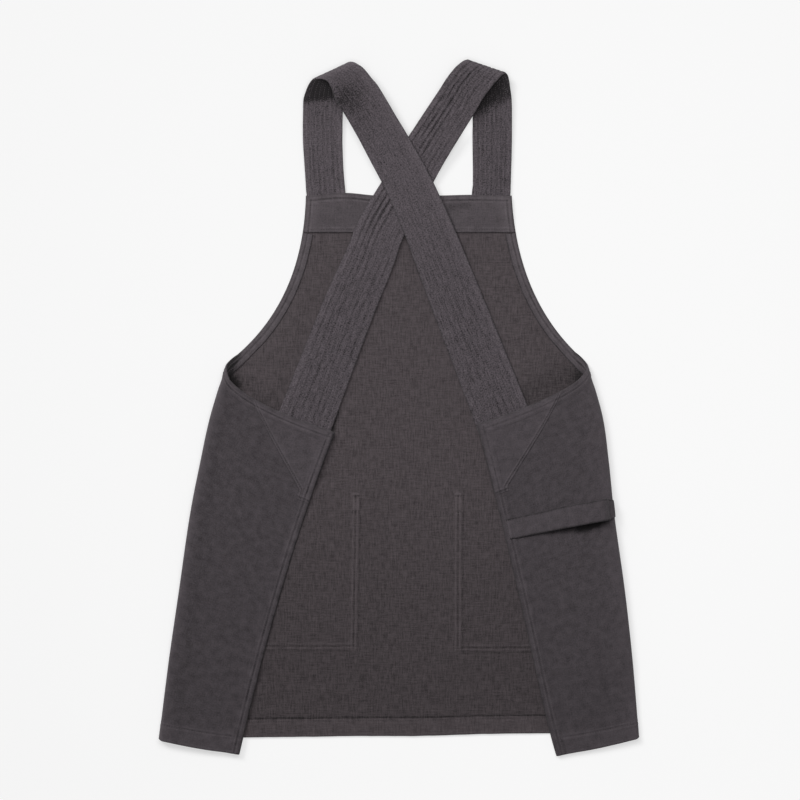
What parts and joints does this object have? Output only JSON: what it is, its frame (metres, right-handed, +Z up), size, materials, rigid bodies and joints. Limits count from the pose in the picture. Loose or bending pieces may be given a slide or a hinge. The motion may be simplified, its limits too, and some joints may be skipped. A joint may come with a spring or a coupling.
{
  "type": "cross-back work smock",
  "caption": "Canvas work smock laid flat and face down, with folded-in back flaps, quilted straps that cross on the back, a tool loop and patch pockets.",
  "frame": {"origin": "on the surface that the smock lies on, at the middle of its outline", "axes": "+Y from the hem to the straps, +Z up from the surface, +X to the right seen from above"},
  "size_m": [0.6568, 0.9538, 0.0276],
  "materials": {
    "canvas": "matte plain weave",
    "quilted_canvas": "matte quilted weave"
  },
  "bodies": {
    "root": {"front_panel": "canvas", "left_flap": "canvas", "right_flap": "canvas", "top_facing": "canvas", "left_armhole_facing": "canvas", "right_armhole_facing": "canvas", "left_strap": "quilted_canvas", "right_strap": "quilted_canvas", "left_corner_patch": "canvas", "right_corner_patch": "canvas", "tool_loop": "canvas", "left_pocket": "canvas", "right_pocket": "canvas"}
  },
  "joints": []
}
